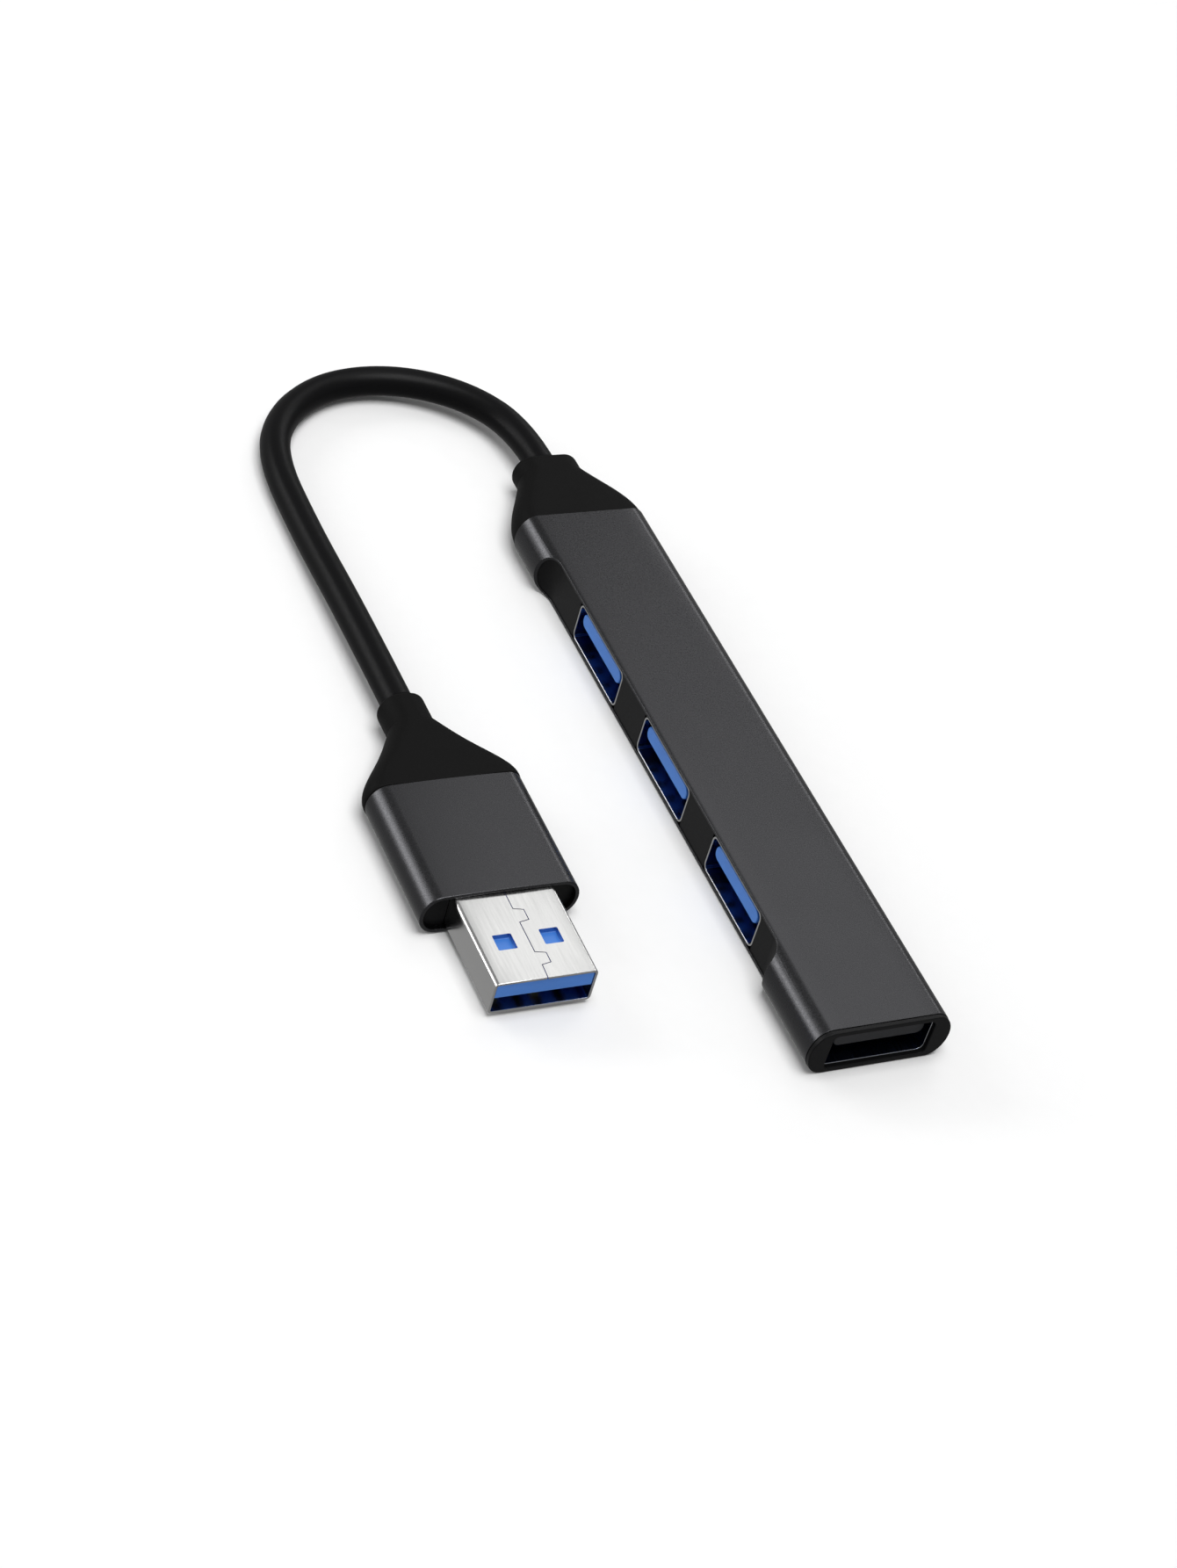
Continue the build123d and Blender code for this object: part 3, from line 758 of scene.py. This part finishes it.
class HUB_OT_ports(bpy.types.Operator):
    """Fold the four port shells and mould their tongues"""

    bl_idname = "hub.ports"
    bl_label = "Ports"

    def execute(self, context):
        sizes = context.scene.hub_sizes
        width, height, corner = OPENING
        wall = SHELL_WALL
        for name, (mouth, turn) in PORT_MOUTHS.items():
            # Each port is made facing +X at the origin, then turned and put in its mouth
            place = Matrix.Translation(Vector(mouth) * MM) @ Matrix.Rotation(math.radians(turn), 4, "Z")
            outer = rounded(width + 2 * wall, height + 2 * wall, corner + wall)
            inner = rounded(width, height, corner)
            shell = piece(
                f"{name}_sheet",
                pipe(outer, inner, -SHELL_LENGTH, 0.0, 0.0),
                "nickel_steel",
            )
            soften(shell, sizes.steel_edge)
            springs = bmesh.new()
            for across_y in (-SPRING_SPREAD, SPRING_SPREAD):
                for side in (-1, 1):
                    self.spring(springs, across_y, side * height / 2, -side)
            join_in_place(shell, springs, place)
            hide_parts(f"{name}_shell")

            section = rounded(TONGUE[0], TONGUE[1], sizes.tongue_corner / MM)
            base = rounded(width - BASE_PLAY, height - BASE_PLAY, corner)
            slot = "dark_plastic" if name == "end_port" else "blue_plastic"
            tongue = piece(
                f"{name}_moulding",
                skin([across(section, x, TONGUE[2]) for x in (-PORT_DEPTH, -TONGUE[3])]),
                slot,
            )
            soften(tongue, TONGUE_EDGE * MM)
            back = skin([across(base, x, 0.0) for x in (-SHELL_LENGTH, -PORT_DEPTH)])
            join_in_place(tongue, back, place)
            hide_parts(f"{name}_tongue")
        return {"FINISHED"}

    @staticmethod
    def spring(made, y, z, away):
        """A pressed finger that leaves the sheet, bows into the port and touches the sheet again."""
        rows = []
        for x, rise in SPRING_BOW:
            for lift in (0.0, SPRING_SHEET):
                height = z + away * (rise + lift)
                corners = [Vector((x, y + side, height)) * MM for side in (-SPRING_HALF, SPRING_HALF)]
                rows.append([made.verts.new(corner) for corner in corners])
        for k in range(len(SPRING_BOW) - 1):
            a, b, c, d = rows[2 * k], rows[2 * k + 2], rows[2 * k + 3], rows[2 * k + 1]
            made.faces.new((a[0], a[1], b[1], b[0]))
            made.faces.new((d[0], d[1], c[1], c[0])[::-1])
            for end in (0, 1):
                made.faces.new((a[end], b[end], c[end], d[end]))
        bmesh.ops.recalc_face_normals(made, faces=made.faces)


def boot(name, metal_x, reach, collar, neck, swell, base, spigot, mid, y, sizes):
    """A strain relief on the -X side of a metal tube: a round lip, a collar and a smooth swelling."""
    steps = sizes.arc_steps
    end_x = metal_x - reach
    count = 4 * steps + 2 * CROWN_STEPS

    def disc(radius):
        """A round section with as many points as the others."""
        points = []
        for i in range(count):
            turn = -math.pi / 2 + 2 * math.pi * (i + 0.5) / count
            points.append((radius * math.cos(turn), radius * math.sin(turn)))
        return points

    def shrunk(section, gap):
        """A width, height and bulge, less a gap all round."""
        return capsule(section[0] - 2 * gap, section[1] - 2 * gap, section[2] - gap, steps)

    rings = [across(disc(radius), end_x + dip, mid, y) for radius, dip in BOOT_LIP]
    for i in range(BOOT_ROUND_STEPS + 1):
        turn = math.pi / 2 * i / BOOT_ROUND_STEPS
        section = shrunk(neck, BOOT_ROUND * (1 - math.sin(turn)))
        rings.append(across(section, end_x + BOOT_ROUND * (1 - math.cos(turn)), mid, y))
    for i in range(SWELL_STEPS + 1):
        share = i / SWELL_STEPS
        mix = share + swell[0] * share ** swell[1] * (1 - share)
        section = [low + mix * (high - low) for low, high in zip(neck, base)]
        rings.append(across(shrunk(section, 0.0), end_x + collar + share * (reach - collar), mid, y))
    rings[-1:] = [across(shrunk(base, gap), metal_x - back, mid, y) for gap, back in BOOT_RIM]
    rings += [across(shrunk(spigot, 0.0), x, mid, y) for x in (metal_x, metal_x + SPIGOT_LENGTH)]
    made = piece(f"{name}_moulding", skin(rings), "boot_elastomer")
    soften(made, 0)
    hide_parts(name)
    return made


class HUB_OT_boots(bpy.types.Operator):
    """Mould the two strain reliefs"""

    bl_idname = "hub.boots"
    bl_label = "Boots"

    def execute(self, context):
        sizes = context.scene.hub_sizes
        for name, metal in (("hub_boot", "housing"), ("plug_boot", "plug_sleeve")):
            low, high = ends(metal)
            far, near = ends(name)
            mid, y = (low.z + high.z) / 2, (far.y + near.y) / 2
            wall = (sizes.housing_wall if name == "hub_boot" else sizes.sleeve_wall) / MM
            bulge = sizes.side_bulge / MM
            width, height = near.y - far.y, high.z - low.z - 0.2
            collar, neck, swell = BOOTS[name]
            boot(
                name,
                low.x,
                low.x - far.x,
                collar,
                neck,
                swell,
                (width, height, bulge - 0.1),
                (width + 0.1 - 2 * wall, height + 0.1 - 2 * wall, INNER_BULGE - FIT_GAP),
                mid,
                y,
                sizes,
            )
        return {"FINISHED"}


class HUB_OT_plug(bpy.types.Operator):
    """Make the plug's sleeve, its drawn shell and the insulator inside"""

    bl_idname = "hub.plug"
    bl_label = "Plug"

    def execute(self, context):
        sizes = context.scene.hub_sizes
        low, high = ends("plug_sleeve")
        mid, y = (low.z + high.z) / 2, (low.y + high.y) / 2
        wall, bulge, steps = sizes.sleeve_wall / MM, sizes.side_bulge / MM, sizes.arc_steps
        width, height = high.y - low.y, high.z - low.z
        outer = capsule(width, height, bulge, steps, SLEEVE_CROWN)
        inner = capsule(width - 2 * wall, height - 2 * wall, bulge - wall, steps, SLEEVE_CROWN)
        sleeve = piece(
            "sleeve_shell",
            pipe(outer, inner, low.x, high.x, mid, y),
            "anodised_aluminium",
        )
        soften(sleeve, sizes.metal_edge)
        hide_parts("plug_sleeve")

        low, high = ends("plug_shell")
        width, height = high.y - low.y, high.z - low.z
        outer = rounded(width, height, PLUG_CORNER)
        inner = rounded(width - 2 * PLUG_WALL, height - 2 * PLUG_WALL, PLUG_CORNER - PLUG_WALL)
        shell = piece(
            "plug_sheet",
            pipe(outer, inner, low.x, high.x, mid, y),
            "nickel_steel",
        )
        soften(shell, sizes.steel_edge)
        square = rounded(WINDOW[0], WINDOW[0], WINDOW_CORNER, 3)
        centre_x = high.x - WINDOW[1] - WINDOW[0] / 2
        squares = [[(centre_x + a, y + side * WINDOW[2] + b) for a, b in square] for side in (-1, 1)]
        tools = [prism(outline, low.z - 1.0, high.z + 1.0) for outline in squares]
        seam = [(low.x - 0.5, y), *[(high.x - back, y + shift) for back, shift in SEAM], (high.x + 0.5, y)]
        tools.append(prism(ribbon(seam, SEAM_WIDTH), mid + 1.0, high.z + 1.0))
        carve(shell, *tools)
        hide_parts("plug_shell")

        low, high = ends("plug_insulator")
        width, height = high.y - low.y, high.z - low.z
        section = rounded(width, height, PLUG_CORNER - PLUG_WALL)
        insulator = piece(
            "plug_moulding",
            skin([across(section, x, mid, y) for x in (low.x, high.x)]),
            "blue_plastic",
        )
        space = [(high.x - PLUG_CAVITY, y - width), (high.x + 1.0, y - width)]
        space += [(x, y + width) for x, _ in reversed(space)]
        pockets = [prism(outline, high.z - WINDOW_POCKET, high.z + 1.0) for outline in squares]
        carve(insulator, prism(space, low.z - 1.0, mid), *pockets)
        soften(insulator, sizes.moulded_edge)
        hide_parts("plug_insulator")
        return {"FINISHED"}


class HUB_OT_rest(bpy.types.Operator):
    """Dress the CAD nodes that keep their own meshes"""

    bl_idname = "hub.rest"
    bl_label = "Remaining nodes"

    def execute(self, context):
        dress(*[name for name, node in frame["nodes"].items() if not node.hide_render])
        return {"FINISHED"}


class HUB_PT_panel(bpy.types.Panel):
    """Lists the hub's pieces, sizes and colours"""

    bl_idname = "HUB_PT_panel"
    bl_label = "Data hub"
    bl_space_type = "VIEW_3D"
    bl_region_type = "UI"
    bl_category = "Data hub"

    def draw(self, context):
        column = self.layout.column(align=True)
        for operator in OPERATORS:
            column.operator(operator.bl_idname)
        for group in (context.scene.hub_sizes, context.scene.hub_colours, context.scene.hub_studio):
            column = self.layout.column()
            for name in group.bl_rna.properties.keys():
                if name not in ("rna_type", "name"):
                    column.prop(group, name)


OPERATORS = (
    HUB_OT_stage,
    HUB_OT_cable,
    HUB_OT_housing,
    HUB_OT_end_plate,
    HUB_OT_ports,
    HUB_OT_boots,
    HUB_OT_plug,
    HUB_OT_rest,
    HUB_OT_cord,
)
GROUPS = {"hub_sizes": HubSizes, "hub_colours": HubColours, "hub_studio": HubStudio}


def register():
    """Makes the classes known to Blender."""
    for kind in (*GROUPS.values(), *OPERATORS, HUB_PT_panel):
        bpy.utils.register_class(kind)
    for name, kind in GROUPS.items():
        setattr(bpy.types.Scene, name, PointerProperty(type=kind))


def unregister():
    """Removes the classes again."""
    for name in GROUPS:
        delattr(bpy.types.Scene, name)
    for kind in (HUB_PT_panel, *reversed(OPERATORS), *reversed(tuple(GROUPS.values()))):
        bpy.utils.unregister_class(kind)


def main():
    """Builds the hub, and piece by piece."""
    register()
    for operator in OPERATORS:
        group, name = operator.bl_idname.split(".")
        getattr(getattr(bpy.ops, group), name)()


if __name__ == "__main__":
    main()
